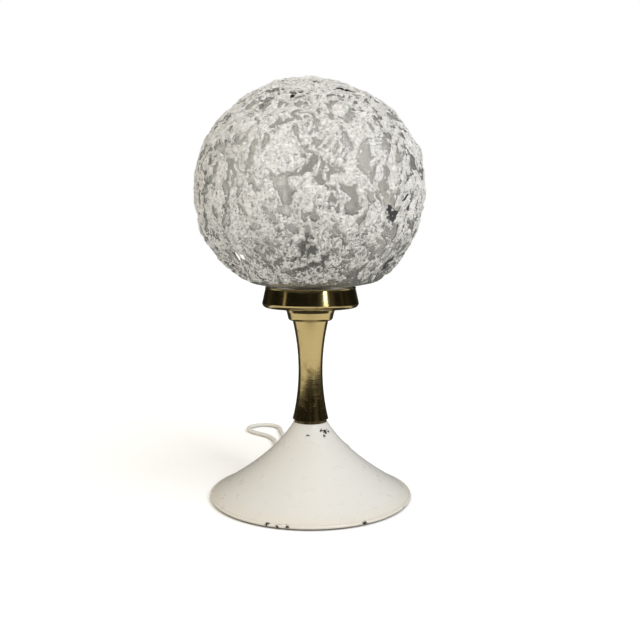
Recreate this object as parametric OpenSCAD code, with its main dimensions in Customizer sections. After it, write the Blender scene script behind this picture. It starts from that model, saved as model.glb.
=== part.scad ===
// Table lamp with a textured glass globe, a waisted brass stem and a white trumpet foot.
// Origin: on the table, under the middle of the foot. +Z is up, -Y is the front, +Y is the
// rear, where the mains lead leaves the foot. All sizes are in millimetres.

/* [Foot] */
// outer diameter of the white trumpet foot, over its rolled rim
foot_d = 182; // [140:1:220]
// height of the top of the trumpet above the table
foot_h = 68.5; // [50:0.5:90]
// diameter of the trumpet's narrow top
foot_top_d = 30; // [24:0.5:40]
// sheet thickness of the trumpet
foot_wall = 1.2; // [0.8:0.1:2]
// radius that the trumpet's curve is pulled toward; smaller gives a deeper flare
foot_pull_r = 34.4; // [20:0.2:50]

/* [Stem] */
// height of the waisted brass stem
stem_h = 89; // [60:1:130]
// diameter of the stem at both of its ends
stem_end_d = 32; // [24:0.5:44]
// diameter of the stem at its waist
stem_waist_d = 21.6; // [18:0.2:30]

/* [Gallery] */
// diameter of the brass cup at its widest
cup_d = 86; // [70:1:110]
// diameter of the cup's open mouth
cup_mouth_d = 79.4; // [64:0.2:100]
// height of the cup
cup_h = 18; // [14:0.5:30]

/* [Globe] */
// diameter of the glass globe
globe_d = 200; // [150:1:260]
// height of the globe's ellipse, which is a little less than its diameter
globe_h = 192; // [140:1:250]
// wall of the blown glass
glass_wall = 3; // [2:0.1:5]
// how far the glass screws up to come free, in turns
globe_turns = 1.5; // [1:0.25:2]

/* [Lead] */
// diameter of the round mains lead
cord_d = 4.6; // [4:0.1:7]
// angle of the lead's exit, measured from the right-hand side
exit_angle = 106; // [90:1:130]

/* [Model] */
// which sub-part to show: all, or the name of one node

/* [Hidden] */
$fn = 96;

// finishes
white_lacquer = [0.86, 0.84, 0.78];
brass = [0.72, 0.58, 0.30];
dark_brass = [0.30, 0.24, 0.14];
steel = [0.62, 0.62, 0.60];
iron = [0.20, 0.20, 0.21];
bakelite = [0.06, 0.05, 0.05];
glass_clear = [0.86, 0.87, 0.84, 0.6];
bulb_clear = [0.92, 0.93, 0.92, 0.4];
white_pvc = [0.84, 0.83, 0.79];
felt_grey = [0.35, 0.36, 0.34];

// levels from the table up
felt_t = 1.5;
cover_t = 1;
rim_r = 1.5;
rim_z = 2.7;
ballast_z0 = 4;
ballast_z1 = 14;
hub_z1 = 24;
seat_z = 17.5;
ring_t = 2.8;
stem_z0 = foot_h + ring_t;
stem_z1 = stem_z0 + stem_h;
collar_h = 11.7;
cup_z0 = stem_z1 + collar_h;
cup_z1 = cup_z0 + cup_h;
cup_wall = 1;
floor_z = cup_z0 + 1.2;

// threaded rod that holds the lamp together
rod_d = 10;
rod_bore = 7.8;
rod_z0 = 9;
rod_z1 = floor_z + 16;
nut_flats = 14;
nut_t = 4.5;

// globe and its screwed neck
globe_z = cup_z1 + 83;
neck_r = 35.4;
neck_z0 = floor_z + 4.6;
thread_pitch = 5;
ridge_out = 1.3;
ring_bore_r = 37.4;
ridge_z = neck_z0 + 4.6;
ring_z1 = cup_z1 - 1.6;

// lamp holder and bulb
cap_z0 = floor_z + 6;
cap_z1 = cap_z0 + 20;
insert_z0 = cap_z0 + 15;
skirt_z1 = cap_z0 + 59;
e27_pitch = 3.629;
e27_z0 = cap_z0 + 28;
bulb_z0 = cap_z0 + 27.2;
bulb_r = 30;
bulb_len = 104;

// mains lead: heights, coil and pieces at its end
exit_z = 7.3;
exit_r = 110;
coil_x = 6;
coil_y = 129.8;
coil_across = 5;
coil_layers = 2;
turn_r = 26.4;
switch_x = 3;
switch_y = 187;
switch_l = 52;
switch_w = 21;
switch_h = 13;
plug_y = 255;
plug_w = 34;
plug_h = 13;
plug_z = 6.6;
exit_x = exit_r * cos(exit_angle);
exit_y = exit_r * sin(exit_angle);
cord_r = cord_d / 2;
coil_out_r = turn_r + (coil_across - 1) / 2 * cord_d;
coil_in_r = turn_r - (coil_across - 1) / 2 * cord_d;

// the lead from the bush back and left, round one open bend, and forward to the coil
lead_route = [
  [exit_x, exit_y, exit_z], [exit_x - 3, exit_y + 10.5, 6.2], [-35.6, 128, 4.4],
  [-37.6, 142, 3], [-38.6, 158, 2.3], [-40, 174, 2.3], [-44, 190, 2.3], [-52, 204, 2.3],
  [-62.6, 213.6, 2.3], [-70, 222.2, 2.3], [-74.6, 231.7, 2.3], [-74.6, 241.3, 2.3],
  [-69.7, 249.7, 2.3], [-61.3, 254.6, 2.3], [-51.7, 254.6, 2.3], [-43.3, 249.7, 2.3],
  [-38.4, 241.3, 2.3], [-35.9, 227, 2.3], [-33.3, 210, 2.3], [-31.6, 192, 2.3],
  [-30.6, 174, 2.3], [-30, 156, 2.3], [-29.7, 142, 2.3], [coil_x - coil_out_r, coil_y, 2.3]
];

// from the coil's upper layer to the switch
tail_route = [
  [coil_x + coil_out_r * cos(60), coil_y + coil_out_r * sin(60), 6.9], [15.5, 165.4, 6.9],
  [10.3, 169.4, 6.8], [6.3, 174.5, 6.7], [3.8, 180.5, 6.6], [switch_x, switch_y, 6.5]
];

// from the switch to the plug
end_route = [
  [switch_x, switch_y + switch_l, 6.5], [switch_x - 0.5, 243.5, 6.5], [1.2, 248, 6.5],
  [0.4, 251.8, 6.6], [0, plug_y, plug_z]
];

// ---------- shared shapes ----------

// radius of the trumpet's outer face at a height: a shallow parabola
function foot_r(z, low = rim_z + 0.4) =
  let (u = (z - low) / (foot_h - low))
  let (bottom = foot_d / 2 - 0.4)
  bottom * (1 - u) * (1 - u) + 2 * (1 - u) * u * foot_pull_r + foot_top_d / 2 * u * u;

// radius of the stem's outer face: one circular arc between its ends
function stem_r(z) =
  let (half = stem_h / 2)
  let (dip = (stem_end_d - stem_waist_d) / 2)
  let (big = (half * half + dip * dip) / (2 * dip))
  stem_waist_d / 2 + big - sqrt(big * big - pow(z - stem_z0 - half, 2));

// points of an arc about (cx, cz)
function arc(cx, cz, r, a0, a1, steps) =
  [for (i = [0 : steps]) let (a = a0 + (a1 - a0) * i / steps) [cx + r * cos(a), cz + r * sin(a)]];

// half an ellipse arc in the radius-height plane
function oval(rx, rz, cz, a0, a1, steps) =
  [for (i = [0 : steps]) let (a = a0 + (a1 - a0) * i / steps) [rx * cos(a), cz + rz * sin(a)]];

function reversed(list) = [for (i = [len(list) - 1 : -1 : 0]) list[i]];

// a round tube of given radius along a list of points, closed at both ends
module swept_tube(path, r, sides = 8) {
  n = len(path);
  heading = [for (i = [0 : n - 1]) path[min(i + 1, n - 1)] - path[max(i - 1, 0)]];
  side = [for (h = heading) cross(h, [0, 0, 1]) / norm(cross(h, [0, 0, 1]))];
  up = [for (i = [0 : n - 1]) cross(side[i], heading[i]) / norm(heading[i])];
  points = [
    for (i = [0 : n - 1]) for (k = [0 : sides - 1])
      let (a = 360 * (k + 0.5) / sides)
      path[i] + r * (cos(a) * side[i] + sin(a) * up[i])
  ];
  walls = [
    for (i = [0 : n - 2]) for (k = [0 : sides - 1])
      let (a = i * sides + k)
      let (b = i * sides + (k + 1) % sides)
      each [[a, b, b + sides], [a, b + sides, a + sides]]
  ];
  first = [for (k = [1 : sides - 2]) [0, k + 1, k]];
  e = (n - 1) * sides;
  last = [for (k = [1 : sides - 2]) [e, e + k, e + k + 1]];
  polyhedron(points = points, faces = concat(walls, first, last));
}

// a smooth curve through hand-chosen points (Catmull-Rom), with steps pieces per span
function smooth(pts, steps) = [
  for (i = [0 : len(pts) - 2]) for (j = [0 : steps - 1])
    let (p0 = pts[max(i - 1, 0)])
    let (p1 = pts[i])
    let (p2 = pts[i + 1])
    let (p3 = pts[min(i + 2, len(pts) - 1)])
    let (t = j / steps)
    0.5 * (2 * p1 + (p2 - p0) * t + (2 * p0 - 5 * p1 + 4 * p2 - p3) * t * t
      + (3 * p1 - p0 - 3 * p2 + p3) * t * t * t),
  pts[len(pts) - 1]
];

// a helical ridge of trapezoid section; it climbs turns * pitch
module helix_ridge(r_root, r_crest, z0, pitch, turns, root_w, crest_w, phase = 0) {
  per_turn = 40;
  n = round(turns * per_turn);
  points = [
    for (i = [0 : n])
      let (a = phase + 360 * i / per_turn)
      let (z = z0 + pitch * i / per_turn)
      each [
        [r_root * cos(a), r_root * sin(a), z - root_w / 2],
        [r_crest * cos(a), r_crest * sin(a), z - crest_w / 2],
        [r_crest * cos(a), r_crest * sin(a), z + crest_w / 2],
        [r_root * cos(a), r_root * sin(a), z + root_w / 2]
      ]
  ];
  walls = [
    for (i = [0 : n - 1]) for (k = [0 : 3])
      let (a = i * 4 + k)
      let (b = i * 4 + (k + 1) % 4)
      each [[a, b + 4, b], [a, a + 4, b + 4]]
  ];
  e = n * 4;
  ends = [[0, 1, 2], [0, 2, 3], [e, e + 2, e + 1], [e, e + 3, e + 2]];
  polyhedron(points = points, faces = concat(walls, ends));
}

// a solid rod whose side is the round E27 thread wave
module wave_rod(r_mid, wave, z0, z1) {
  around = 36;
  rows = ceil((z1 - z0) / 0.65);
  points = [
    for (j = [0 : rows]) for (i = [0 : around - 1])
      let (a = 360 * i / around)
      let (z = z0 + (z1 - z0) * j / rows)
      let (r = r_mid + wave * cos(360 * (z - bulb_z0) / e27_pitch - a))
      [r * cos(a), r * sin(a), z]
  ];
  low = [[0, 0, z0], [0, 0, z1]];
  base_i = len(points);
  walls = [
    for (j = [0 : rows - 1]) for (i = [0 : around - 1])
      let (a = j * around + i)
      let (b = j * around + (i + 1) % around)
      each [[a, b + around, b], [a, a + around, b + around]]
  ];
  caps = [
    for (i = [0 : around - 1])
      let (k = (i + 1) % around)
      let (t = rows * around)
      each [[base_i, i, k], [base_i + 1, t + k, t + i]]
  ];
  polyhedron(points = concat(points, low), faces = concat(walls, caps));
}

module tube(r_out, r_in, z0, z1) {
  difference() {
    translate([0, 0, z0]) cylinder(r = r_out, h = z1 - z0);
    translate([0, 0, z0 - 1]) cylinder(r = r_in, h = z1 - z0 + 2);
  }
}

module hex_nut(z0, t) {
  difference() {
    intersection() {
      translate([0, 0, z0]) cylinder(d = nut_flats / cos(30), h = t, $fn = 6);
      translate([0, 0, z0]) cylinder(d = nut_flats * 1.1, h = t);
    }
    translate([0, 0, z0 - 1]) cylinder(d = rod_d + 0.1, h = t + 2);
  }
}

// a thread end: shallow round grooves along a stretch of the rod
module thread_grooves(z0, z1, r) {
  for (z = [z0 : 1.5 : z1]) {
    rotate_extrude() polygon([[r - 0.45, z], [r + 1, z - 0.7], [r + 1, z + 0.7]]);
  }
}

// turns a child that runs along +X so that it runs along the lead's exit
module at_exit() {
  rotate([0, 0, exit_angle]) children();
}

// ---------- foot ----------

module felt_pad() {
  color(felt_grey) cylinder(r = foot_d / 2 - 6, h = felt_t);
}

module bottom_cover() {
  color(steel) translate([0, 0, felt_t]) cylinder(r = foot_d / 2 - 3.4, h = cover_t);
}

// cast weight inside the foot, with a slot for the lead
module ballast() {
  low_r = foot_d / 2 - 9;
  high_r = foot_r(ballast_z1) - 5;
  color(iron) difference() {
    union() {
      translate([0, 0, ballast_z0]) cylinder(r1 = low_r, r2 = high_r, h = ballast_z1 - ballast_z0);
      translate([0, 0, ballast_z0]) cylinder(r = 22, h = hub_z1 - ballast_z0);
    }
    translate([0, 0, ballast_z0 - 1]) cylinder(r = 12, h = seat_z - ballast_z0 + 1);
    translate([0, 0, seat_z - 1]) cylinder(d = rod_d + 0.5, h = 10);
    at_exit() translate([0, -5, ballast_z0 - 1]) cube([foot_d / 2, 10, 8.4]);
  }
}

// the white trumpet: thin sheet with a rolled rim
module base_shell() {
  steps = 22;
  span = foot_h - rim_z - 0.4;
  outer = [for (i = [0 : steps]) let (z = rim_z + 0.4 + span * i / steps) [foot_r(z), z]];
  inner = [for (i = [0 : steps - 1])
    let (z = rim_z + 0.4 + (span - foot_wall) * i / (steps - 1))
    let (lean = (foot_r(z) - foot_r(z + 1)))
    [foot_r(z) - foot_wall * sqrt(1 + lean * lean), z]];
  color(white_lacquer) difference() {
    union() {
      rotate_extrude($fn = 128)
        polygon(concat(outer, [[0, foot_h], [0, foot_h - foot_wall]], reversed(inner)));
      rotate_extrude($fn = 128) translate([foot_d / 2 - rim_r, rim_z]) circle(r = rim_r, $fn = 32);
    }
    translate([0, 0, foot_h - 5]) cylinder(d = rod_d + 0.5, h = 10);
    at_exit() translate([60, 0, exit_z]) rotate([0, 90, 0]) cylinder(r = 4.05, h = 40);
  }
}

module lower_nut() {
  color(steel) hex_nut(seat_z - 1.6 - nut_t, nut_t);
}

module lower_washer() {
  color(steel) tube(10.5, rod_d / 2 + 0.15, seat_z - 1.6, seat_z);
}

module spacer_tube() {
  color(steel) tube(8, rod_d / 2 + 0.3, hub_z1, foot_h - foot_wall);
}

module centre_rod() {
  color(steel) difference() {
    translate([0, 0, rod_z0]) cylinder(d = rod_d, h = rod_z1 - rod_z0);
    translate([0, 0, rod_z0 - 1]) cylinder(d = rod_bore, h = rod_z1 - rod_z0 + 2);
    thread_grooves(rod_z0 + 0.9, rod_z0 + 2.2, rod_d / 2);
  }
}

// tapered bush that carries the lead through the rim
module cord_bushing() {
  color(white_pvc) at_exit() translate([0, 0, exit_z]) rotate([0, 90, 0]) difference() {
    union() {
      translate([0, 0, 71.5]) cylinder(r = 4, h = 17.5);
      translate([0, 0, 89]) cylinder(r1 = 4, r2 = 3, h = exit_r - 89);
      translate([0, 0, 71.5]) cylinder(r = 4.6, h = 1.5);
    }
    translate([0, 0, 70]) cylinder(d = cord_d + 0.1, h = exit_r);
  }
}

// block that grips the sheath, wedged in the weight's slot
module cord_anchor() {
  color(bakelite) at_exit() difference() {
    translate([46, -4.9, exit_z - 2.8]) cube([10, 9.8, 6.8]);
    translate([40, 0, exit_z]) rotate([0, 90, 0]) cylinder(d = cord_d + 0.02, h = 30);
  }
}

// the sheath from the bush to just past its anchor, inside the foot
module cord_sheath_end() {
  color(white_pvc) at_exit() translate([40, 0, exit_z]) rotate([0, 90, 0])
    cylinder(d = cord_d, h = exit_r - 40);
}

// one conductor: along the slot, round a bend and up the rod to the lamp holder
module conductor(side) {
  bend = 4;
  at_exit() translate([0, side * 1.3, 0]) {
    translate([bend, 0, exit_z]) rotate([0, 90, 0]) cylinder(r = 1.1, h = 40 - bend);
    translate([bend, 0, exit_z + bend]) rotate([90, 0, 0]) rotate([0, 0, 180])
      rotate_extrude(angle = 90) translate([bend, 0]) circle(r = 1.1, $fn = 24);
    translate([0, 0, exit_z + bend]) cylinder(r = 1.1, h = insert_z0 - exit_z - bend);
  }
}

module conductor_live() {
  color([0.35, 0.2, 0.1]) conductor(1);
}

module conductor_neutral() {
  color([0.15, 0.25, 0.5]) conductor(-1);
}

// ---------- stem and gallery ----------

module foot_ring() {
  color(dark_brass) difference() {
    translate([0, 0, foot_h]) cylinder(r = 14.4, h = ring_t);
    translate([0, 0, foot_h - 1]) cylinder(d = rod_d + 0.4, h = ring_t + 2);
  }
}

module stem() {
  steps = 24;
  wall = 1.2;
  outer = [for (i = [0 : steps]) let (z = stem_z0 + stem_h * i / steps) [stem_r(z), z]];
  inner = [for (i = [0 : steps]) let (z = stem_z0 + stem_h * i / steps) [stem_r(z) - wall, z]];
  color(brass) difference() {
    union() {
      rotate_extrude() polygon(concat(outer, reversed(inner)));
      tube(stem_end_d / 2 - 0.6, rod_d / 2 + 0.2, stem_z0, stem_z0 + 1.6);
      tube(stem_end_d / 2 - 0.6, rod_d / 2 + 0.2, stem_z1 - 1.6, stem_z1);
    }
  }
}

module neck_collar() {
  z = stem_z1;
  color(brass) difference() {
    rotate_extrude() polygon(concat(
      [[0, z], [16.6, z]],
      arc(17.4, z + 2.6, 2.6, -85, -15, 6),
      [[21.2, z + 7.4], [22.8, cup_z0 - 0.8], [22.8, cup_z0], [0, cup_z0]]
    ));
    translate([0, 0, z - 1]) cylinder(d = rod_d + 0.4, h = collar_h + 2);
    translate([0, 0, z + 2]) cylinder(r = 14, h = collar_h);
  }
}

module gallery_cup() {
  wide = cup_d / 2;
  mouth = cup_mouth_d / 2;
  corner = 4;
  outer = concat(
    [[6.5, cup_z0], [wide - corner - 1, cup_z0]],
    arc(wide - corner, cup_z0 + corner, corner, -80, 0, 8),
    [[mouth + 0.4, cup_z1 - 1.2], [mouth + 0.7, cup_z1 - 0.6], [mouth + 0.5, cup_z1]]
  );
  inner = concat(
    [[mouth - 0.6, cup_z1], [mouth - 0.6, cup_z1 - 1.2]],
    reversed(arc(wide - corner, cup_z0 + corner, corner - cup_wall, -72, 0, 6)),
    [[wide - corner + 0.8, floor_z], [6.5, floor_z]]
  );
  color(brass) difference() {
    rotate_extrude($fn = 128) polygon(concat(outer, inner));
    translate([0, 0, cup_z0 - 1]) cylinder(d = rod_d + 0.4, h = 5);
  }
}

// ring with three inward lugs that ride between the turns of the glass thread
module thread_ring() {
  out_r = 38.7;
  lug_angle = 14;
  lug_h = 1.4;
  color(brass) {
    rotate_extrude() polygon([
      [36.4, floor_z], [out_r, floor_z], [out_r, ring_z1], [ring_bore_r, ring_z1],
      [ring_bore_r, floor_z + 1], [36.4, floor_z + 1]
    ]);
    for (k = [0 : 2]) {
      turn = k == 2 ? -1 / 6 + 1 / 2 : 2 / 3 + k / 3;
      lug_z = ridge_z + thread_pitch * turn;
      rotate([0, 0, 240 + 120 * k - lug_angle / 2]) rotate_extrude(angle = lug_angle)
        translate([neck_r + 0.6, lug_z - lug_h / 2]) square([2.4, lug_h]);
    }
  }
}

module upper_washer() {
  color(steel) tube(10, rod_d / 2 + 0.15, floor_z, floor_z + 1.2);
}

module upper_nut() {
  color(brass) hex_nut(floor_z + 1.2, 4);
}

// soft ring between the cup's floor and the glass, which lifts with the glass
module neck_gasket() {
  color([0.75, 0.73, 0.68]) tube(neck_r + 0.3, neck_r - 4, floor_z + 0.3, neck_z0 - 0.3);
}

// ---------- globe ----------

module globe() {
  rx = globe_d / 2;
  rz = globe_h / 2;
  shoulder = -52.5;
  outer = concat(
    oval(rx, rz, globe_z, 90, shoulder, 40),
    [[53, cup_z1 + 3.9], [46, cup_z1 + 2.3], [40, cup_z1 + 1.3], [36.6, cup_z1 + 0.2]],
    [[neck_r, cup_z1 - 1.4], [neck_r, neck_z0]]
  );
  inner = concat(
    [[neck_r - glass_wall, neck_z0], [neck_r - glass_wall, cup_z1 + 1.2]],
    [[neck_r - 1.4, cup_z1 + 3.6], [42, cup_z1 + 5.2], [50, cup_z1 + 6.9]],
    reversed(oval(rx - glass_wall, rz - glass_wall, globe_z, 90, shoulder - 0.5, 36))
  );
  color(glass_clear) union() {
    rotate_extrude($fn = 128) polygon(concat(outer, inner));
    helix_ridge(neck_r - 0.8, neck_r + ridge_out - 0.1, ridge_z, thread_pitch, 1, 2.3, 0.9, 180);
  }
}

// ---------- lamp holder ----------

module socket_cap() {
  z = cap_z0;
  color(bakelite) difference() {
    rotate_extrude() polygon(concat(
      [[0, z], [8.6, z], [9, z + 0.4], [9, z + 4]],
      arc(9, z + 14.5, 10.5, -75, 0, 8),
      [[19.5, cap_z1], [0, cap_z1]]
    ));
    translate([0, 0, z - 1]) cylinder(d = rod_d + 0.06, h = 12);
    translate([0, 0, z + 10.2]) cylinder(r = 17, h = 20);
  }
}

// ceramic block with the terminals
module socket_insert() {
  color([0.85, 0.82, 0.75]) difference() {
    translate([0, 0, insert_z0]) cylinder(r = 16.6, h = 10);
    for (s = [-1, 1]) translate([s * 9, -20, insert_z0 + 3]) rotate([-90, 0, 0])
      cylinder(r = 1.55, h = 14);
    translate([0, 0, insert_z0 + 8.8]) cylinder(r = 5, h = 2);
  }
}

module terminal_screws() {
  color(brass) for (s = [-1, 1]) translate([s * 9, -13.2, insert_z0 + 3]) rotate([-90, 0, 0])
    difference() {
      cylinder(r = 1.5, h = 7);
      translate([-2, -0.3, -0.2]) cube([4, 0.6, 0.8]);
    }
}

module socket_skirt() {
  z = cap_z1;
  color(bakelite) rotate_extrude() polygon([
    [17.2, z], [20.2, z], [20.4, z + 3], [19.9, z + 5], [19.6, skirt_z1 - 3], [20.2, skirt_z1 - 2.4],
    [20.2, skirt_z1 - 0.6], [19.6, skirt_z1], [16.2, skirt_z1], [15.8, skirt_z1 - 1],
    [15.8, e27_z0 - 1], [17.2, e27_z0 - 3]
  ]);
}

module socket_thread() {
  color(brass) difference() {
    union() {
      translate([0, 0, e27_z0]) cylinder(r = 14.6, h = 19);
      tube(16.4, 12, insert_z0 + 10, insert_z0 + 11);
      tube(14.6, 13.6, insert_z0 + 10.5, e27_z0 + 1);
    }
    wave_rod(13.08, 0.4, e27_z0 - 1, e27_z0 + 20);
    translate([0, 0, insert_z0 + 9]) cylinder(r = 13.2, h = e27_z0 - insert_z0 - 8);
  }
}

// sprung strip under the bulb's tip
module centre_contact() {
  z = insert_z0 + 8.8;
  color(brass) {
    translate([-4, -2.5, z]) cube([8, 5, 0.6]);
    translate([-4, -2.5, z]) cube([0.6, 5, bulb_z0 - z - 0.5]);
    translate([-4, -2.5, bulb_z0 - 0.9]) cube([7, 5, 0.5]);
  }
}

// ---------- bulb ----------

module bulb_tip() {
  color(steel) translate([0, 0, bulb_z0]) rotate_extrude()
    polygon([[0, 0], [2.6, 0], [4.4, 0.8], [4.4, 1.5], [0, 1.5]]);
}

module bulb_insulator() {
  z = bulb_z0 + 1.8;
  color(bakelite) rotate_extrude()
    polygon([[0, z], [5.4, z], [10.2, z + 3.4], [10.2, z + 4.2], [0, z + 4.2]]);
}

module bulb_cap() {
  z = bulb_z0 + 6;
  color(steel) difference() {
    union() {
      wave_rod(12.7, 0.4, z, z + 15);
      translate([0, 0, z + 14.8]) cylinder(r1 = 12.7, r2 = 13.3, h = 6.2);
    }
    translate([0, 0, z + 1]) cylinder(r = 11.6, h = 30);
  }
}

module bulb_glass() {
  top = bulb_z0 + bulb_len;
  mid = top - bulb_r;
  neck = bulb_z0 + 27.1;
  wall = 0.8;
  outer = concat(
    arc(0, mid, bulb_r, 90, -28, 16),
    [[21.8, mid - 22], [17.2, mid - 31], [14.6, mid - 38], [13.6, neck]]
  );
  inner = concat(
    [[13.6 - wall, neck], [14.6 - wall, mid - 38], [17.2 - wall, mid - 31], [21.8 - wall, mid - 22]],
    reversed(arc(0, mid, bulb_r - wall, 90, -27, 16))
  );
  color(bulb_clear) rotate_extrude() polygon(concat(outer, inner));
}

// glass stem that carries the filament
module bulb_mount() {
  z = bulb_z0 + 27.2;
  color(bulb_clear) difference() {
    union() {
      rotate_extrude() polygon([
        [0, z], [12.7, z], [12.7, z + 1], [5, z + 4], [3.6, z + 6.5], [3.2, z + 15.8], [0, z + 17.8]
      ]);
      translate([0, 0, z + 15.8]) cylinder(r = 1.1, h = 14, $fn = 24);
      translate([0, 0, z + 29.8]) sphere(r = 2, $fn = 24);
    }
    for (s = [-1, 1]) translate([s * 2.4, 0, z + 13.3]) cylinder(r = 0.38, h = 6, $fn = 12);
  }
}

// supply wires and the coiled wire between them
module bulb_filament() {
  z = bulb_z0 + 43.5;
  color(steel) {
    for (s = [-1, 1]) {
      translate([s * 2.4, 0, z - 2.9]) cylinder(r = 0.35, h = 3.9, $fn = 12);
      translate([s * 2.4, 0, z + 1]) rotate([0, s * 38, 0]) cylinder(r = 0.35, h = 20, $fn = 12);
    }
    translate([-14.7, 0, z + 16.6]) rotate([0, 90, 0]) cylinder(r = 0.55, h = 29.4, $fn = 12);
  }
}

// ---------- mains lead ----------

module cord_lead() {
  color(white_pvc) swept_tube(smooth(lead_route, 3), cord_r);
}

module cord_tail() {
  color(white_pvc) swept_tube(smooth(tail_route, 3), cord_r);
}

module cord_end() {
  color(white_pvc) swept_tube(smooth(end_route, 2), cord_r);
}

// the coil's outer shape: turns beside and on each other
module cord_coil() {
  top = (coil_layers - 0.5) * cord_d;
  color(white_pvc) translate([coil_x, coil_y, 0]) rotate_extrude($fn = 72) polygon(concat(
    arc(coil_in_r, cord_r, cord_r, 180, 270, 3),
    arc(coil_out_r, cord_r, cord_r, 270, 360, 3),
    arc(coil_out_r, top, cord_r, 0, 90, 3),
    arc(coil_in_r, top, cord_r, 90, 180, 3)
  ));
}

// soft band that holds the coil together
module coil_tie() {
  in_r = coil_in_r - cord_r - 0.1;
  out_r = coil_out_r + cord_r + 0.1;
  top = coil_layers * cord_d + 0.1;
  color(bakelite) translate([coil_x, coil_y, 0]) rotate([0, 0, 100]) difference() {
    translate([in_r - 0.9, -2, 0]) cube([out_r - in_r + 1.8, 4, top + 0.9]);
    translate([in_r, -3, -1]) cube([out_r - in_r, 6, top + 1]);
  }
}

// ---------- switch on the lead ----------

// rounded bar lying along the lead
module switch_bar(z0, z1, grow = 0) {
  w = switch_w / 2 + grow;
  l = switch_l / 2 + grow;
  translate([switch_x, switch_y + switch_l / 2, z0]) linear_extrude(z1 - z0) polygon([
    [-w * 0.55, -l], [w * 0.55, -l], [w, -l * 0.62], [w, l * 0.62],
    [w * 0.55, l], [-w * 0.55, l], [-w, l * 0.62], [-w, -l * 0.62]
  ]);
}

// two upright rods where the switch's screws go
module screw_pair(r, z0, h) {
  cy = switch_y + switch_l / 2;
  for (s = [-1, 1]) translate([switch_x + s * 5, cy + s * 17, z0]) cylinder(r = r, h = h);
}

module switch_base() {
  color(white_pvc) difference() {
    switch_bar(0, 6.4);
    switch_bar(1.6, 7, -1.6);
    screw_pair(1.3, -1, 4);
  }
}

// cover with a window for the rocker and two cheeks that hold its pin
module switch_cover() {
  cy = switch_y + switch_l / 2;
  color(white_pvc) difference() {
    union() {
      difference() {
        switch_bar(6.6, switch_h);
        switch_bar(6, switch_h - 1.6, -1.6);
        translate([switch_x - 4.8, cy - 9.4, 9]) cube([9.6, 18.8, 10]);
      }
      for (x = [-7, 5.2]) translate([switch_x + x, cy - 3, 7.6]) cube([1.8, 6, switch_h - 8.4]);
    }
    translate([switch_x - 7.6, cy, 10]) rotate([0, 90, 0]) cylinder(r = 1.3, h = 15.2);
  }
}

// rocker, shown tipped to its off side
module switch_rocker() {
  cy = switch_y + switch_l / 2;
  color([0.9, 0.88, 0.83]) translate([switch_x, cy, 10]) rotate([-8, 0, 0]) {
    rotate([0, 90, 0]) translate([0, 0, -7.2]) cylinder(r = 1.2, h = 14.4);
    translate([4.4, 0, 0]) rotate([0, -90, 0]) linear_extrude(8.8)
      polygon([[-1.8, -5], [0.6, -8.4], [4, -8.2], [3.4, 0], [4, 8.2], [0.6, 8.4], [-1.8, 5]]);
  }
}

module switch_contacts() {
  cy = switch_y + switch_l / 2;
  color(brass) for (s = [-1, 1]) {
    translate([switch_x - 2.5, cy + s * 12 - 4, 1.7]) cube([5, 8, 0.6]);
    translate([switch_x - 2.5, cy + s * 8.3 - 0.3, 1.7]) cube([5, 0.6, 4]);
  }
}

module switch_screws() {
  color(steel) {
    screw_pair(1.2, 0.2, 5.6);
    screw_pair(2.2, 1.7, 1);
  }
}

// ---------- plug ----------

module plug_relief() {
  color(white_pvc) translate([0, plug_y, plug_z]) rotate([-90, 0, 0]) {
    cylinder(r1 = 2.9, r2 = 4.4, h = 20);
    for (i = [0 : 3]) translate([0, 0, 3 + 4.4 * i]) cylinder(r = 3.5 + 0.35 * i, h = 2.2);
  }
}

// flat body with bevelled edges, wider at the front than at the lead
module plug_body() {
  y = plug_y + 20;
  w = plug_w / 2;
  h = plug_h / 2;
  plan = [
    [-7, y], [7, y], [w, y + 13], [w, y + 30],
    [w - 3, y + 33], [3 - w, y + 33], [-w, y + 30], [-w, y + 13]
  ];
  face = [
    [-w, -2.6], [4 - w, -h], [w - 4, -h], [w, -2.6],
    [w, 2.6], [w - 4, h], [4 - w, h], [-w, 2.6]
  ];
  color(white_pvc) intersection() {
    translate([0, 0, plug_z - h]) linear_extrude(plug_h) polygon(plan);
    translate([0, y + 34, plug_z]) rotate([90, 0, 0]) linear_extrude(40) polygon(face);
  }
}

module plug_pins() {
  y = plug_y + 53;
  color(steel) for (s = [-1, 1]) translate([s * 9.3, y, plug_z]) rotate([-90, 0, 0]) {
    cylinder(r = 1.9, h = 9.5, $fn = 32);
    translate([0, 0, 9.5]) cylinder(r = 2, h = 7.8, $fn = 32);
    translate([0, 0, 17.3]) cylinder(r1 = 2, r2 = 1.1, h = 1.7, $fn = 32);
  }
}

// ---------- nodes ----------

felt_pad();
bottom_cover();
ballast();
base_shell();
lower_nut();
lower_washer();
spacer_tube();
centre_rod();
cord_bushing();
cord_anchor();
cord_sheath_end();
conductor_live();
conductor_neutral();
foot_ring();
stem();
neck_collar();
gallery_cup();
thread_ring();
upper_washer();
upper_nut();
neck_gasket();
globe();
socket_cap();
socket_insert();
terminal_screws();
socket_skirt();
socket_thread();
centre_contact();
bulb_tip();
bulb_insulator();
bulb_cap();
bulb_glass();
bulb_mount();
bulb_filament();
cord_lead();
cord_coil();
coil_tie();
cord_tail();
switch_base();
switch_cover();
switch_rocker();
switch_contacts();
switch_screws();
cord_end();
plug_relief();
plug_body();
plug_pins();
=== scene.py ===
# Table lamp: textured glass globe, brass cup and waisted stem, white trumpet foot, mains lead.
# Lengths are in metres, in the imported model's frame: +Z up, -Y front, +Y rear.
import math

import bpy
import numpy as np
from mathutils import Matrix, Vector
from mathutils.geometry import interpolate_bezier


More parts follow.
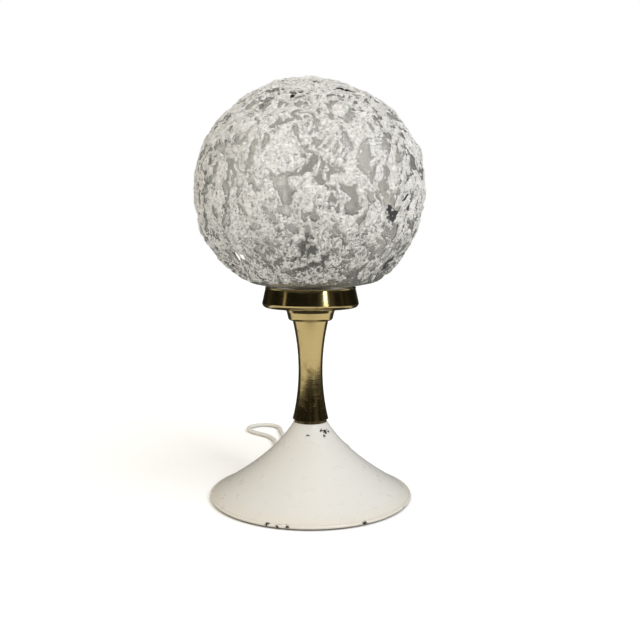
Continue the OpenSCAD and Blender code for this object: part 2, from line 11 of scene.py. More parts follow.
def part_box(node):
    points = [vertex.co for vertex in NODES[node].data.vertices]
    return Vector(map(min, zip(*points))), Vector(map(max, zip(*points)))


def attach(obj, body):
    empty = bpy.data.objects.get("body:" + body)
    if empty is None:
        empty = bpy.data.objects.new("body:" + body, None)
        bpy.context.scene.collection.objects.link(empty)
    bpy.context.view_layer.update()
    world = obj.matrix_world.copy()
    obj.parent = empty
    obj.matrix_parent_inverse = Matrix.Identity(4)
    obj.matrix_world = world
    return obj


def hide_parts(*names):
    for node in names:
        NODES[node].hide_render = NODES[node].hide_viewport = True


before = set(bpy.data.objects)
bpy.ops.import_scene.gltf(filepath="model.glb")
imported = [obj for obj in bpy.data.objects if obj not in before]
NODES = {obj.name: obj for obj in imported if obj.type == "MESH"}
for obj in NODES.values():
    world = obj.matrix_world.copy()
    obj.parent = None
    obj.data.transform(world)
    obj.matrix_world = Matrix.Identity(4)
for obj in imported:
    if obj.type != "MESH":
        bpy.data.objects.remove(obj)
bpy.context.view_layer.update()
SEED = 11


# ---------------------------------------------------------------- camera
CAMERA_BACK = 0.6955     # distance from the lamp's axis
CAMERA_UP = 0.2355       # height above the table
CAMERA_PITCH = 6.17      # degrees looking down
LENS_MM = 44.07
SENSOR_MM = 36.0
FRAME_SHIFT = 0.0148     # the lamp stands a little left of the middle


def make_camera():
    data = bpy.data.cameras.new("camera")
    data.lens = LENS_MM
    data.sensor_width = SENSOR_MM
    data.shift_x = FRAME_SHIFT
    data.clip_start = 0.01
    camera = bpy.data.objects.new("camera", data)
    bpy.context.scene.collection.objects.link(camera)
    camera.location = (0.0, -CAMERA_BACK, CAMERA_UP)
    camera.rotation_euler = (math.radians(90.0 - CAMERA_PITCH), 0.0, 0.0)
    bpy.context.scene.camera = camera


make_camera()


# ---------------------------------------------------------------- mains lead
CORD_D = 0.0046
EXIT_ANGLE = math.radians(106.0)
EXIT_R = 0.110           # the strain relief's tip, from the lamp's axis
EXIT_Z = 0.0073
COIL_MID = (0.006, 0.1298)
COIL_TURN_R = 0.0264     # the coil's middle turn
COIL_ACROSS = 5          # turns side by side
COIL_RISE = 0.25         # share of a turn in which the lead climbs to the upper layer
COIL_LEAVES = 1 / 3      # share of a turn left out before the lead goes off to the switch
POINTS_PER_TURN = 16

exit_point = (EXIT_R * math.cos(EXIT_ANGLE), EXIT_R * math.sin(EXIT_ANGLE), EXIT_Z)
LEAD_ROUTE = [
    exit_point, (exit_point[0] - 0.003, exit_point[1] + 0.0105, 0.0062),
    (-0.0356, 0.128, 0.0044), (-0.0376, 0.142, 0.0030), (-0.0386, 0.158, 0.0023),
    (-0.040, 0.174, 0.0023), (-0.044, 0.190, 0.0023), (-0.052, 0.204, 0.0023),
    (-0.0626, 0.2136, 0.0023), (-0.070, 0.2222, 0.0023), (-0.0746, 0.2317, 0.0023),
    (-0.0746, 0.2413, 0.0023), (-0.0697, 0.2497, 0.0023), (-0.0613, 0.2546, 0.0023),
    (-0.0517, 0.2546, 0.0023), (-0.0433, 0.2497, 0.0023), (-0.0384, 0.2413, 0.0023),
    (-0.0359, 0.227, 0.0023), (-0.0333, 0.210, 0.0023), (-0.0316, 0.192, 0.0023),
    (-0.0306, 0.174, 0.0023), (-0.030, 0.156, 0.0023), (-0.0297, 0.142, 0.0023),
]
TAIL_ROUTE = [
    (0.0238, 0.1606, 0.0069), (0.0155, 0.1654, 0.0069), (0.0103, 0.1694, 0.0068),
    (0.0063, 0.1745, 0.0067), (0.0038, 0.1805, 0.0066), (0.003, 0.187, 0.0065),
]
END_ROUTE = [
    (0.003, 0.239, 0.0065), (0.0025, 0.2435, 0.0065), (0.0012, 0.248, 0.0065),
    (0.0004, 0.2518, 0.0066), (0.0, 0.255, 0.0066),
]


def coil_points():
    """Round the lower layer from the outside in, then round the upper layer from the inside out."""
    outer = COIL_TURN_R + (COIL_ACROSS - 1) / 2 * CORD_D
    inner = COIL_TURN_R - (COIL_ACROSS - 1) / 2 * CORD_D
    layer_turns = COIL_ACROSS - 1
    lower_z = CORD_D / 2
    upper_z = CORD_D * 1.5
    stretches = [
        (0, layer_turns - COIL_RISE, outer, inner, lower_z, lower_z),
        (layer_turns - COIL_RISE, COIL_RISE, inner, inner, lower_z, upper_z),
        (layer_turns, layer_turns - COIL_LEAVES, inner, outer, upper_z, upper_z),
    ]
    points = []
    for first_turn, turns, r0, r1, z0, z1 in stretches:
        steps = round(turns * POINTS_PER_TURN)
        for i in range(steps):
            share = i / steps
            angle = math.pi + (first_turn + share * turns) * 2 * math.pi
            radius = r0 + (r1 - r0) * share
            x = COIL_MID[0] + radius * math.cos(angle)
            y = COIL_MID[1] + radius * math.sin(angle)
            points.append((x, y, z0 + (z1 - z0) * share))
    return points


def make_tube(name, points, radius):
    """A round tube along one smooth curve through the points, as a mesh, and its centreline."""
    curve = bpy.data.curves.new(name, "CURVE")
    curve.dimensions = "3D"
    curve.bevel_depth = radius
    curve.bevel_resolution = 5
    curve.resolution_u = 4
    curve.use_fill_caps = True
    spline = curve.splines.new("BEZIER")
    spline.bezier_points.add(len(points) - 1)
    line = [Vector(point) for point in points]
    ahead = [b - a for a, b in zip(line, line[1:])]
    steps = zip(spline.bezier_points, line, ahead[:1] + ahead, ahead + ahead[-1:])
    for bezier, point, before, after in steps:
        way = (before.normalized() + after.normalized()).normalized()
        bezier.handle_left_type = "FREE"
        bezier.handle_right_type = "FREE"
        bezier.co = point
        bezier.handle_left = point - way * before.length / 3
        bezier.handle_right = point + way * after.length / 3
    drawn = bpy.data.objects.new(name + "_curve", curve)
    bpy.context.scene.collection.objects.link(drawn)
    settled = drawn.evaluated_get(bpy.context.evaluated_depsgraph_get())
    mesh = bpy.data.meshes.new_from_object(settled)
    mesh.polygons.foreach_set("use_smooth", np.ones(len(mesh.polygons), bool))
    centreline = [line[0]]
    for a, b in zip(spline.bezier_points, spline.bezier_points[1:]):
        centreline += interpolate_bezier(a.co, a.handle_right, b.handle_left, b.co, 5)[1:]
    bpy.data.objects.remove(drawn)
    piece = bpy.data.objects.new(name, mesh)
    bpy.context.scene.collection.objects.link(piece)
    return piece, centreline


def make_lead():
    points = LEAD_ROUTE + coil_points() + TAIL_ROUTE + END_ROUTE
    piece, centreline = make_tube("mains_lead", points, CORD_D / 2)
    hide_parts("cord_lead", "cord_coil", "cord_tail", "cord_end")
    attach(piece, "lamp")
    return piece


lead = make_lead()


# ---------------------------------------------------------------- node helpers
class Nodes:
    """A short way to write a material's node tree."""

    def __init__(self, name):
        self.material = bpy.data.materials.new(name)
        self.material.use_nodes = True
        self.tree = self.material.node_tree
        self.shader = self.tree.nodes["Principled BSDF"]
        self.output = self.tree.nodes["Material Output"]

    def add(self, kind, **settings):
        node = self.tree.nodes.new(kind)
        for key, value in settings.items():
            setattr(node, key, value)
        return node

    def put(self, value, socket):
        if isinstance(value, bpy.types.NodeSocket):
            self.tree.links.new(value, socket)
        else:
            socket.default_value = value

    def set(self, **values):
        """Sets the shader's sockets by name, with _ for a space."""
        for key, value in values.items():
            self.put(value, self.shader.inputs[key.replace("_", " ")])

    def place(self):
        return self.add("ShaderNodeTexCoord").outputs["Object"]

    def scaled(self, vector, scale):
        node = self.add("ShaderNodeMapping")
        self.put(vector, node.inputs["Vector"])
        node.inputs["Scale"].default_value = scale
        return node.outputs["Vector"]

    def noise(self, vector, scale, detail=4.0, rough=0.55, warp=0.0):
        node = self.add("ShaderNodeTexNoise")
        self.put(vector, node.inputs["Vector"])
        node.inputs["Scale"].default_value = scale
        node.inputs["Detail"].default_value = detail
        node.inputs["Roughness"].default_value = rough
        node.inputs["Distortion"].default_value = warp
        return node.outputs["Fac"]

    def axes(self, vector):
        node = self.add("ShaderNodeSeparateXYZ")
        self.put(vector, node.inputs[0])
        return node.outputs

    def distance(self, vector, point):
        node = self.add("ShaderNodeVectorMath", operation="DISTANCE")
        self.put(vector, node.inputs[0])
        node.inputs[1].default_value = point
        return node.outputs["Value"]

    def math(self, operation, a, b=0.0, clamp=False):
        node = self.add("ShaderNodeMath", operation=operation, use_clamp=clamp)
        self.put(a, node.inputs[0])
        self.put(b, node.inputs[1])
        return node.outputs[0]

    def ramp(self, value, low, high, out_low=0.0, out_high=1.0):
        node = self.add("ShaderNodeMapRange", interpolation_type="SMOOTHSTEP")
        self.put(value, node.inputs["Value"])
        node.inputs["From Min"].default_value = low
        node.inputs["From Max"].default_value = high
        node.inputs["To Min"].default_value = out_low
        node.inputs["To Max"].default_value = out_high
        return node.outputs["Result"]

    def blend(self, share, a, b):
        node = self.add("ShaderNodeMix", data_type="RGBA")
        self.put(share, node.inputs[0])
        for value, socket in ((a, node.inputs[6]), (b, node.inputs[7])):
            self.put((*value, 1.0) if isinstance(value, tuple) else value, socket)
        return node.outputs[2]

    def bump(self, height, strength, depth, under=None):
        node = self.add("ShaderNodeBump")
        self.put(height, node.inputs["Height"])
        node.inputs["Strength"].default_value = strength
        node.inputs["Distance"].default_value = depth
        if under is not None:
            self.put(under, node.inputs["Normal"])
        return node.outputs["Normal"]

    def spots(self, centres, edge, vector):
        """1 inside any of the round spots (x, y, z, radius), with a broken edge."""
        total = None
        for x, y, z, radius in centres:
            near = self.math("SUBTRACT", radius, self.distance(vector, (x, y, z)))
            total = near if total is None else self.math("MAXIMUM", total, near)
        return self.ramp(self.math("ADD", total, edge), 0.0, 0.00025)


# ---------------------------------------------------------------- materials
def white_lacquer():
    m = Nodes("white_lacquer")
    p = m.place()
    cloud = m.noise(p, 14.0, 5.0, 0.6)
    grime = m.ramp(m.noise(m.scaled(p, (1.0, 1.0, 2.5)), 60.0, 6.0, 0.7), 0.56, 0.78)
    z = m.axes(p)["Z"]
    colour = m.blend(cloud, (0.575, 0.560, 0.512), (0.610, 0.598, 0.560))
    colour = m.blend(m.math("MULTIPLY", grime, 0.22), colour, (0.55, 0.49, 0.38))
    yellow = m.math("MULTIPLY", m.ramp(z, 0.012, 0.002), 0.35)
    colour = m.blend(yellow, colour, (0.60, 0.53, 0.40))
    broken = m.math("MULTIPLY", m.math("SUBTRACT", m.noise(p, 560.0, 4.0, 0.7), 0.5), 0.0095)
    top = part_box("base_shell")[1][2]
    chips = [
        (0.0128, -0.0142, top - 0.0066, 0.0021), (0.0155, -0.0118, top - 0.0060, 0.0016),
        (0.0098, -0.0155, top - 0.0050, 0.0013), (0.0118, -0.0168, top - 0.0098, 0.0014),
        (-0.0022, -0.0200, top - 0.0085, 0.0013), (-0.0125, 0.0115, top - 0.0040, 0.0013),
        (-0.0350, -0.0835, 0.0032, 0.0017), (-0.0265, -0.0865, 0.0026, 0.0014),
        (-0.0190, -0.0885, 0.0030, 0.0018), (0.0440, -0.0792, 0.0028, 0.0018),
        (0.0800, -0.0430, 0.0030, 0.0010), (-0.0700, 0.0570, 0.0030, 0.0015),
        (0.0300, 0.0855, 0.0026, 0.0012),
    ]
    chip = m.spots(chips, broken, p)
    rust = m.blend(m.noise(p, 1500.0, 3.0), (0.010, 0.008, 0.006), (0.055, 0.032, 0.020))
    m.set(Base_Color=m.blend(chip, colour, rust))
    rough = m.ramp(m.noise(p, 90.0, 5.0, 0.65), 0.3, 0.7, 0.26, 0.40)
    m.set(Roughness=m.math("ADD", rough, m.math("MULTIPLY", chip, 0.4)))
    m.set(Coat_Weight=0.25, Coat_Roughness=0.18, IOR=1.5)
    skin = m.bump(m.noise(p, 260.0, 3.0, 0.5), 0.12, 0.0004)
    m.set(Normal=m.bump(m.math("SUBTRACT", 1.0, chip), 0.6, 0.0004, skin))
    return m.material


def brass(name, bright, dull, shine, tarnish_low, tarnish_high, spots=()):
    m = Nodes(name)
    p = m.place()
    stain = m.ramp(m.noise(p, 55.0, 6.0, 0.62, 0.4), tarnish_low, tarnish_high)
    colour = m.blend(stain, bright, dull)
    specks = m.ramp(m.noise(p, 420.0, 4.0, 0.7), 0.66, 0.74)
    colour = m.blend(m.math("MULTIPLY", specks, 0.7), colour, (0.10, 0.07, 0.03))
    turned = m.noise(m.scaled(p, (1.0, 1.0, 60.0)), 40.0, 3.0, 0.6)
    if spots:
        mark = m.spots(spots, m.math("MULTIPLY", m.math("SUBTRACT", stain, 0.5), 0.0004), p)
        colour = m.blend(mark, colour, (0.04, 0.03, 0.015))
    m.set(Base_Color=colour, Metallic=1.0)
    rough = m.ramp(turned, 0.3, 0.7, shine, shine + 0.07)
    rough = m.math("ADD", rough, m.math("MULTIPLY", stain, 0.14))
    m.set(Roughness=m.math("ADD", rough, m.math("MULTIPLY", specks, 0.2)))
    lines = m.bump(turned, 0.05, 0.0002)
    m.set(Normal=m.bump(m.noise(p, 300.0, 3.0), 0.04, 0.0003, lines))
    return m.material


def plain_metal(name, colour, rough, grain, metallic=1.0, depth=0.0002):
    m = Nodes(name)
    p = m.place()
    mottle = m.noise(p, grain, 5.0, 0.6)
    dark = tuple(c * 0.7 for c in colour)
    m.set(Base_Color=m.blend(mottle, dark, colour), Metallic=metallic)
    m.set(Roughness=m.ramp(mottle, 0.3, 0.7, rough, rough + 0.15))
    m.set(Normal=m.bump(m.noise(p, grain * 4, 3.0), 0.2, depth))
    return m.material


def moulded(name, colour, rough, grain=500.0, stain=(0.55, 0.48, 0.36), stain_share=0.15):
    m = Nodes(name)
    p = m.place()
    mottle = m.noise(p, 40.0, 5.0, 0.6)
    dark = tuple(c * 0.86 for c in colour)
    base = m.blend(mottle, dark, colour)
    dirt = m.math("MULTIPLY", m.ramp(m.noise(p, 130.0, 6.0, 0.7), 0.55, 0.75), stain_share)
    m.set(Base_Color=m.blend(dirt, base, stain))
    m.set(Roughness=m.ramp(m.noise(p, 120.0, 4.0), 0.3, 0.7, rough, rough + 0.12))
    m.set(Normal=m.bump(m.noise(p, grain, 3.0), 0.15, 0.0002))
    return m.material


def felt():
    m = Nodes("grey_felt")
    p = m.place()
    fibre = m.noise(m.scaled(p, (1.0, 3.0, 1.0)), 900.0, 6.0, 0.75)
    m.set(Base_Color=m.blend(fibre, (0.16, 0.17, 0.16), (0.36, 0.37, 0.34)), Roughness=0.95)
    m.set(Sheen_Weight=0.4, Sheen_Roughness=0.5)
    m.set(Normal=m.bump(fibre, 0.5, 0.0006))
    return m.material


def clear_glass(name, tint, rough, wave):
    m = Nodes(name)
    p = m.place()
    ripple = m.noise(p, 26.0, 2.0, 0.5)
    haze = m.ramp(m.noise(p, 80.0, 4.0), 0.45, 0.75, rough, rough + 0.06)
    m.set(Base_Color=(*tint, 1.0), Roughness=haze, IOR=1.5, Transmission_Weight=1.0)
    m.set(Normal=m.bump(ripple, wave, 0.001))
    return m.material


def crusted_glass():
    """Clear glass where the crust attribute is low, raised crackled white where it is high."""
    m = Nodes("textured_glass")
    p = m.place()
    crust = m.add("ShaderNodeAttribute", attribute_name="crust").outputs["Fac"]
    low = m.ramp(m.axes(p)["Z"], 0.262, 0.222)
    tall = m.scaled(p, (1.0, 1.0, 0.75))
    flake = m.noise(tall, 230.0, 6.0, 0.72, 0.5)
    grain = m.noise(p, 760.0, 3.0, 0.70, 0.2)
    height = m.math("ADD", crust, m.math("MULTIPLY", m.math("SUBTRACT", flake, 0.5), 1.25))
    height = m.math("ADD", height, m.math("MULTIPLY", m.math("SUBTRACT", grain, 0.5), 0.5))
    height = m.math("SUBTRACT", height, m.math("MULTIPLY", low, 0.09))
    patch = m.ramp(height, 0.36, 0.41)
    painted_rim_highlight = m.ramp(height, 0.42, 0.60, 1.0, 0.0)
    holes = m.math("ADD", m.noise(tall, 400.0, 5.0, 0.80, 1.0), m.math("MULTIPLY", low, 0.050))
    hole = m.ramp(holes, 0.555, 0.600)
    white = m.math("MULTIPLY", patch, m.math("SUBTRACT", 1.0, m.math("MULTIPLY", hole, 0.85)))
    # Painted shade: random darker patches in the white crust stand for the shade in its crevices.
    painted_crevice_shade = m.ramp(m.noise(m.scaled(p, (1.0, 1.0, 1.6)), 330.0, 6.0, 0.80, 0.8), 0.40, 0.60)
    frit = m.blend(painted_crevice_shade, (0.60, 0.585, 0.54), (0.95, 0.94, 0.91))
    # Painted highlight: the flakes' edges are painted lighter, as if catching the light.
    frit = m.blend(m.math("MULTIPLY", painted_rim_highlight, 0.65), frit, (0.97, 0.965, 0.95))
    m.set(Base_Color=m.blend(white, (0.97, 0.965, 0.93), frit))
    m.set(Transmission_Weight=m.ramp(white, 0.0, 1.0, 0.93, 0.08))
    m.set(Roughness=m.ramp(white, 0.0, 1.0, 0.20, 0.36), IOR=1.45)
    relief = m.math("SUBTRACT", height, m.math("MULTIPLY", hole, 0.30))
    relief = m.math("MULTIPLY", relief, m.ramp(patch, 0.0, 1.0, 0.08, 1.0))
    m.set(Normal=m.bump(relief, 0.85, 0.0019))
    return m.material


# ---------------------------------------------------------------- glass globe
GLOBE_MID_Z = 0.273
GLOBE_RX = 0.100
GLOBE_RZ = 0.096
GLASS_WALL = 0.003
NECK_R = 0.0354
THREAD_PITCH = 0.005
SHOULDER = math.radians(-52.5)   # where the ball turns in to the neck
NECK_STEP = 0.0011
AROUND = 560
DOWN = 260
INSIDE_UP = 60

# noise scales are in cells a metre
WARP_SCALE = 55.0
WARP_BY = 0.016
FLAKE_SCALE = 165.0
FLAKE_STRETCH = (1.0, 1.0, 0.66)   # flakes are taller than they are wide
CLUSTER_SCALE = 26.0
LUMP_SCALE = 30.0
RAGGED_SCALE = 300.0
LUMP_HEIGHT = 0.0100
FLAKE_HEIGHT = 0.0011
RAGGED_HEIGHT = 0.0024
SINK = 0.0008                      # brings the crusted face back to the CAD globe's
BARE_NECK = 0.012                  # the crust starts this far above the neck's end
FULL_CRUST = 0.024
THREAD_UP = 0.0046
THREAD_HEIGHT = 0.0012


def hash_grid(ix, iy, iz, seed):
    """A repeatable random number from 0 to 1 for each whole-number cell corner."""
    n = (ix * 73856093) ^ (iy * 19349663) ^ (iz * 83492791) ^ (seed * 2654435761)
    n = (n ^ (n >> 13)) * 1274126177
    n = n & 0x7FFFFFFF
    n = ((n ^ (n >> 16)) * 668265263) & 0x7FFFFFFF
    return n / 0x7FFFFFFF


def value_noise(points, scale, seed):
    q = points * scale
    cell = np.floor(q).astype(np.int64)
    f = q - cell
    f = f * f * (3 - 2 * f)
    total = np.zeros(len(points))
    for dx in (0, 1):
        for dy in (0, 1):
            for dz in (0, 1):
                weight = (
                    (f[:, 0] if dx else 1 - f[:, 0])
                    * (f[:, 1] if dy else 1 - f[:, 1])
                    * (f[:, 2] if dz else 1 - f[:, 2])
                )
                total += weight * hash_grid(cell[:, 0] + dx, cell[:, 1] + dy, cell[:, 2] + dz, seed)
    return total


def layered_noise(points, scale, layers, fade, seed):
    total = np.zeros(len(points))
    weight_sum = 0.0
    weight = 1.0
    for k in range(layers):
        total += weight * value_noise(points + 0.37 * k, scale * 2.03 ** k, seed + k)
        weight_sum += weight
        weight *= fade
    return total / weight_sum


def smooth_step(value, low, high):
    t = np.clip((value - low) / (high - low), 0.0, 1.0)
    return t * t * (3 - 2 * t)


def globe_profile():
    """Radius and height pairs: outside from the pole down to the neck's end, then back up inside."""
    cup_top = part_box("gallery_cup")[1][2]
    neck_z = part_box("globe")[0][2]
    outer = []
    for i in range(DOWN + 1):
        a = math.pi / 2 + (SHOULDER - math.pi / 2) * i / DOWN
        outer.append((GLOBE_RX * math.cos(a), GLOBE_MID_Z + GLOBE_RZ * math.sin(a)))
    bends = [
        outer[-1], (0.053, cup_top + 0.0039), (0.046, cup_top + 0.0023), (0.040, cup_top + 0.0013),
        (0.0366, cup_top + 0.0002), (NECK_R, cup_top - 0.0014), (NECK_R, neck_z),
    ]
    for a, b in zip(bends, bends[1:]):
        count = max(2, round(math.dist(a, b) / NECK_STEP))
        for k in range(1, count + 1):
            outer.append((a[0] + (b[0] - a[0]) * k / count, a[1] + (b[1] - a[1]) * k / count))
    inner_neck = NECK_R - GLASS_WALL
    inner = [
        (inner_neck, neck_z), (inner_neck, cup_top + 0.0012), (NECK_R - 0.0014, cup_top + 0.0036),
        (0.042, cup_top + 0.0052), (0.050, cup_top + 0.0069),
    ]
    start = SHOULDER - 0.01
    for i in range(INSIDE_UP + 1):
        a = start + (math.pi / 2 - start) * i / INSIDE_UP
        radius = (GLOBE_RX - GLASS_WALL) * math.cos(a)
        inner.append((radius, GLOBE_MID_Z + (GLOBE_RZ - GLASS_WALL) * math.sin(a)))
    return outer, inner


def crust_and_lift(points):
    """How much crust each point has, from 0 to 1, and how far its lumps and flakes stand out."""
    warp = layered_noise(points, WARP_SCALE, 2, 0.5, SEED + 40)[:, None] - 0.5
    stretched = points * np.array(FLAKE_STRETCH) + warp * WARP_BY
    flakes = layered_noise(stretched, FLAKE_SCALE, 4, 0.66, SEED)
    clusters = layered_noise(points, CLUSTER_SCALE, 2, 0.5, SEED + 9)
    crust = np.clip((flakes - 0.5) * 3.4 + 0.60 + (clusters - 0.5) * 0.30, 0.0, 1.0)
    raised = smooth_step(crust, 0.35, 0.65)
    lumps = layered_noise(stretched, LUMP_SCALE, 3, 0.50, SEED + 20) - 0.5
    ragged = layered_noise(stretched, RAGGED_SCALE, 2, 0.6, SEED + 30) - 0.5
    lift = lumps * LUMP_HEIGHT + raised * FLAKE_HEIGHT + ragged * RAGGED_HEIGHT * raised - SINK
    return crust, lift


def cut_thread(points, is_outer, neck_end):
    """Raises one turn of coarse thread on the neck."""
    ridge_z = neck_end + THREAD_UP
    angle = (np.arctan2(points[:, 1], points[:, 0]) - math.pi) % (2 * math.pi)
    gap = np.abs(points[:, 2] - (ridge_z + THREAD_PITCH * angle / (2 * math.pi)))
    ridge = THREAD_HEIGHT * (1 - smooth_step(gap, 0.00045, 0.00115))
    on_neck = is_outer & (np.hypot(points[:, 0], points[:, 1]) < NECK_R + 0.0004)
    on_neck &= points[:, 2] < ridge_z + 0.008
    points[:, :2] *= np.where(on_neck, 1 + ridge / NECK_R, 1.0)[:, None]


def ring_quads(rings):
    """Faces between each ring of AROUND points and the next."""
    ring = np.arange(AROUND)
    after = (ring + 1) % AROUND
    quads = []
    for i in range(rings - 1):
        here = i * AROUND
        below = here + AROUND
        quads.append(np.stack([here + ring, below + ring, below + after, here + after], 1))
    return np.concatenate(quads)


def make_globe():
    outer, inner = globe_profile()
    profile = np.array(outer + inner)
    rings = len(profile)
    turn = np.linspace(0.0, 2 * math.pi, AROUND, endpoint=False)
    radius = np.maximum(profile[:, 0], 1e-5)
    x = radius[:, None] * np.cos(turn)[None, :]
    y = radius[:, None] * np.sin(turn)[None, :]
    z = np.repeat(profile[:, 1][:, None], AROUND, axis=1)
    points = np.stack([x, y, z], axis=-1).reshape(-1, 3)
    is_outer = np.repeat(np.arange(rings) < len(outer), AROUND)

    neck_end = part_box("globe")[0][2]
    crust, lift = crust_and_lift(points)
    neck_fade = smooth_step(points[:, 2], neck_end + BARE_NECK, neck_end + FULL_CRUST)
    crust = np.where(is_outer, crust * neck_fade, 0.0)
    lift = np.where(is_outer, lift * neck_fade, 0.0)
    away = points - np.array([0.0, 0.0, GLOBE_MID_Z])
    away /= np.linalg.norm(away, axis=1)[:, None]
    points = points + away * lift[:, None]
    cut_thread(points, is_outer, neck_end)

    quads = ring_quads(rings)
    mesh = bpy.data.meshes.new("glass_globe")
    mesh.from_pydata(points.tolist(), [], quads.tolist())
    attribute = mesh.attributes.new("crust", "FLOAT", "POINT")
    attribute.data.foreach_set("value", crust.astype(np.float32))
    mesh.materials.append(crusted_glass())
    mesh.materials.append(clear_glass("globe_inner_glass", (0.97, 0.97, 0.95), 0.10, 0.25))
    slots = np.repeat((np.arange(rings - 1) >= len(outer) - 1).astype(np.int32), AROUND)
    mesh.polygons.foreach_set("material_index", slots)
    mesh.polygons.foreach_set("use_smooth", np.ones(len(quads), bool))
    mesh.update()
    piece = bpy.data.objects.new("glass_globe", mesh)
    bpy.context.scene.collection.objects.link(piece)
    weld = piece.modifiers.new("poles", "WELD")
    weld.merge_threshold = 0.00003
    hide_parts("globe")
    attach(piece, "globe")
    return piece


make_globe()


# ---------------------------------------------------------------- finishes on the CAD parts
def paint(material, *names):
    for name in names:
        node = NODES[name]
        node.data.materials.clear()
        node.data.materials.append(material)


def paint_all():
    brass_bright = (0.425, 0.332, 0.150)
    brass_dull = (0.26, 0.185, 0.075)
    stem_spots = [(-0.0022, -0.0106, 0.1365, 0.0009), (0.0040, -0.0100, 0.1290, 0.0006)]
    paint(white_lacquer(), "base_shell")
    paint(
        brass("polished_brass", brass_bright, brass_dull, 0.10, 0.52, 0.78),
        "gallery_cup", "neck_collar",
    )
    paint(brass("stem_brass", brass_bright, brass_dull, 0.10, 0.50, 0.72, stem_spots), "stem")
    paint(brass("dark_brass", (0.16, 0.12, 0.06), (0.05, 0.04, 0.02), 0.3, 0.4, 0.6), "foot_ring")
    paint(
        brass("plain_brass", (0.62, 0.47, 0.24), brass_dull, 0.25, 0.5, 0.75),
        "thread_ring", "upper_nut", "terminal_screws", "socket_thread", "centre_contact",
        "switch_contacts",
    )
    paint(
        plain_metal("zinc_steel", (0.60, 0.61, 0.60), 0.3, 300.0),
        "bottom_cover", "lower_nut", "lower_washer", "spacer_tube", "centre_rod", "upper_washer",
        "switch_screws",
    )
    paint(plain_metal("bulb_metal", (0.78, 0.78, 0.76), 0.22, 200.0), "bulb_cap", "bulb_tip", "plug_pins")
    paint(plain_metal("filament_wire", (0.32, 0.32, 0.33), 0.35, 900.0), "bulb_filament")
    paint(plain_metal("grey_iron", (0.10, 0.10, 0.11), 0.6, 250.0, 0.6, 0.0008), "ballast")
    paint(felt(), "felt_pad")
    paint(
        moulded("black_bakelite", (0.022, 0.018, 0.016), 0.22, 400.0, (0.10, 0.08, 0.06)),
        "socket_cap", "socket_skirt", "bulb_insulator", "cord_anchor",
    )
    paint(moulded("holder_ceramic", (0.80, 0.77, 0.70), 0.5), "socket_insert")
    paint(moulded("pale_rubber", (0.62, 0.60, 0.54), 0.7), "neck_gasket")
    paint(
        moulded("switch_white", (0.80, 0.78, 0.71), 0.28),
        "switch_base", "switch_cover", "switch_rocker", "plug_body",
    )
    paint(moulded("live_brown", (0.30, 0.16, 0.08), 0.45), "conductor_live")
    paint(moulded("neutral_blue", (0.10, 0.20, 0.45), 0.45), "conductor_neutral")
    paint(moulded("tie_black", (0.03, 0.03, 0.03), 0.5, 700.0, (0.1, 0.1, 0.1)), "coil_tie")
    pvc = moulded("white_pvc", (0.70, 0.685, 0.63), 0.42, 350.0)
    paint(pvc, "cord_bushing", "cord_sheath_end", "plug_relief")
    lead.data.materials.append(pvc)
    paint(clear_glass("bulb_glass", (0.98, 0.98, 0.97), 0.0, 0.02), "bulb_glass", "bulb_mount")


paint_all()


# ---------------------------------------------------------------- floor and light
TABLE_FRONT = -0.80      # the table's front edge, behind the camera
TABLE_SIDE = 4.0
TABLE_REAR = 5.0
# Painted reflection: outside these bounds the floor is painted black to glossy rays, so the brass shows
# it dark.
GLOSS_NEAR = 0.26        # the brass sees the table as dark nearer the lamp than this,
GLOSS_REAR = 0.21        # further back than this,
GLOSS_MID = (-0.50, -0.10, 0.0)
GLOSS_FAR = 1.15         # and outside a disc of this radius about GLOSS_MID


def make_floor():
    """A pale table top, painted black to glossy rays outside a ring about the lamp: a painted dark
    reflection in the brass. The room in front of its edge is dark, which the brass shows.
    """
    mesh = bpy.data.meshes.new("floor")
    corners = [
        (-TABLE_SIDE, TABLE_FRONT, 0), (TABLE_SIDE, TABLE_FRONT, 0),
        (TABLE_SIDE, TABLE_REAR, 0), (-TABLE_SIDE, TABLE_REAR, 0),
    ]
    mesh.from_pydata(corners, [], [(0, 1, 2, 3)])
    piece = bpy.data.objects.new("floor", mesh)
    bpy.context.scene.collection.objects.link(piece)
    piece.location.z = -0.0002
    m = Nodes("floor")
    p = m.place()
    ring = m.ramp(m.distance(p, (0.0, 0.0, 0.0)), GLOSS_NEAR - 0.02, GLOSS_NEAR + 0.02)
    front = m.ramp(m.axes(p)["Y"], GLOSS_REAR + 0.09, GLOSS_REAR - 0.09)
    ragged = m.math("MULTIPLY", m.math("SUBTRACT", m.noise(p, 7.0, 3.0), 0.5), 0.5)
    reach = m.math("ADD", m.distance(p, GLOSS_MID), ragged)
    disc = m.ramp(reach, GLOSS_FAR + 0.03, GLOSS_FAR - 0.03)
    seen = m.math("MULTIPLY", m.math("MULTIPLY", ring, front), disc)
    seen = m.ramp(seen, 0.0, 1.0, 0.05, 1.0)
    path = m.add("ShaderNodeLightPath")
    pale = m.blend(m.noise(p, 3.0), (0.91, 0.91, 0.90), (0.93, 0.93, 0.92))
    # Painted dark reflection: glossy rays see the floor black outside the bright ring.
    painted_dark_reflection = m.math("MULTIPLY", path.outputs["Is Glossy Ray"], m.math("SUBTRACT", 1.0, seen))
    floor_with_painted_reflection = m.blend(painted_dark_reflection, pale, (0.0, 0.0, 0.0))
    m.set(Base_Color=floor_with_painted_reflection, Roughness=0.7, Specular_IOR_Level=0.1)
    mesh.materials.append(m.material)


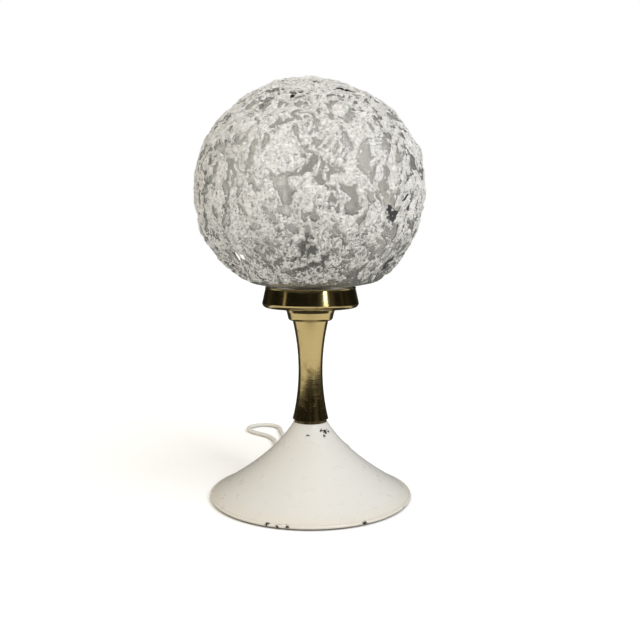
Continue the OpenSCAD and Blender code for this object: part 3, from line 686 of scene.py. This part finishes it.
def sun_light(name, azimuth, height_angle, strength, softness, colour):
    """Even light over the whole table, unseen in the brass."""
    data = bpy.data.lights.new(name, "SUN")
    data.energy = strength
    data.angle = math.radians(softness)
    data.color = colour
    light = bpy.data.objects.new(name, data)
    bpy.context.scene.collection.objects.link(light)
    a = math.radians(azimuth)
    e = math.radians(height_angle)
    away = Vector((math.cos(e) * math.sin(a), -math.cos(e) * math.cos(a), math.sin(e)))
    light.rotation_euler = (-away).to_track_quat("-Z", "Y").to_euler()
    light.visible_glossy = False
    return light


def area_light(name, azimuth, distance, height, size, watts, colour, in_gloss=True):
    """A soft light at an azimuth measured from the front toward the right, aimed at the lamp."""
    data = bpy.data.lights.new(name, "AREA")
    data.shape = "RECTANGLE"
    data.size, data.size_y = size
    data.energy = watts
    data.color = colour
    light = bpy.data.objects.new(name, data)
    bpy.context.scene.collection.objects.link(light)
    a = math.radians(azimuth)
    light.location = (distance * math.sin(a), -distance * math.cos(a), height)
    target = Vector((0.0, 0.0, 0.20))
    light.rotation_euler = (target - light.location).to_track_quat("-Z", "Y").to_euler()
    light.visible_camera = False
    light.visible_glossy = in_gloss
    return light


ROOM_DIFFUSE = (0.80, 0.79, 0.76)
ROOM_IN_GLOSS = (0.016, 0.016, 0.015)
ROOM_STREAK = (0.085, 0.078, 0.055)
ROOM_IN_GLASS = (1.18, 1.15, 1.07)


def make_world():
    """White to the camera, a grey room to the glass and a dark one to the brass."""
    world = bpy.data.worlds.new("world")
    bpy.context.scene.world = world
    world.use_nodes = True
    tree = world.node_tree
    path = tree.nodes.new("ShaderNodeLightPath")

    def choose(flag, low, high):
        node = tree.nodes.new("ShaderNodeMix")
        node.data_type = "RGBA"
        tree.links.new(path.outputs[flag], node.inputs[0])
        for value, socket in ((low, node.inputs[6]), (high, node.inputs[7])):
            if isinstance(value, tuple):
                socket.default_value = (*value, 1.0)
            else:
                tree.links.new(value, socket)
        return node.outputs[2]

    spot = tree.nodes.new("ShaderNodeTexCoord").outputs["Generated"]
    tall = tree.nodes.new("ShaderNodeMapping")
    tall.inputs["Scale"].default_value = (1.0, 1.0, 0.12)
    tree.links.new(spot, tall.inputs["Vector"])
    streaks = tree.nodes.new("ShaderNodeTexNoise")
    streaks.inputs["Scale"].default_value = 3.4
    streaks.inputs["Detail"].default_value = 2.0
    tree.links.new(tall.outputs["Vector"], streaks.inputs["Vector"])
    share = tree.nodes.new("ShaderNodeMapRange")
    share.interpolation_type = "SMOOTHSTEP"
    share.inputs["From Min"].default_value = 0.50
    share.inputs["From Max"].default_value = 0.72
    tree.links.new(streaks.outputs["Fac"], share.inputs["Value"])
    room = tree.nodes.new("ShaderNodeMix")
    room.data_type = "RGBA"
    room.inputs[6].default_value = (*ROOM_IN_GLOSS, 1.0)
    room.inputs[7].default_value = (*ROOM_STREAK, 1.0)
    tree.links.new(share.outputs["Result"], room.inputs[0])
    colour = choose("Is Glossy Ray", ROOM_DIFFUSE, room.outputs[2])
    colour = choose("Is Transmission Ray", colour, ROOM_IN_GLASS)
    colour = choose("Is Camera Ray", colour, (1.0, 1.0, 1.0))
    tree.links.new(colour, tree.nodes["Background"].inputs["Color"])


make_floor()
make_world()
sun_light("sky_left", -66.0, 46.0, 0.54, 50.0, (1.0, 0.76, 0.45))
sun_light("sky_right", 46.0, 54.0, 1.40, 50.0, (0.95, 0.99, 1.09))
area_light("window", 37.0, 1.5, 1.05, (0.20, 0.84), 5.0, (0.97, 0.98, 1.0))
area_light("lamp_left", -66.0, 1.6, 1.00, (0.16, 0.8), 0.35, (1.0, 0.90, 0.72))
bpy.context.scene.view_settings.view_transform = "Standard"
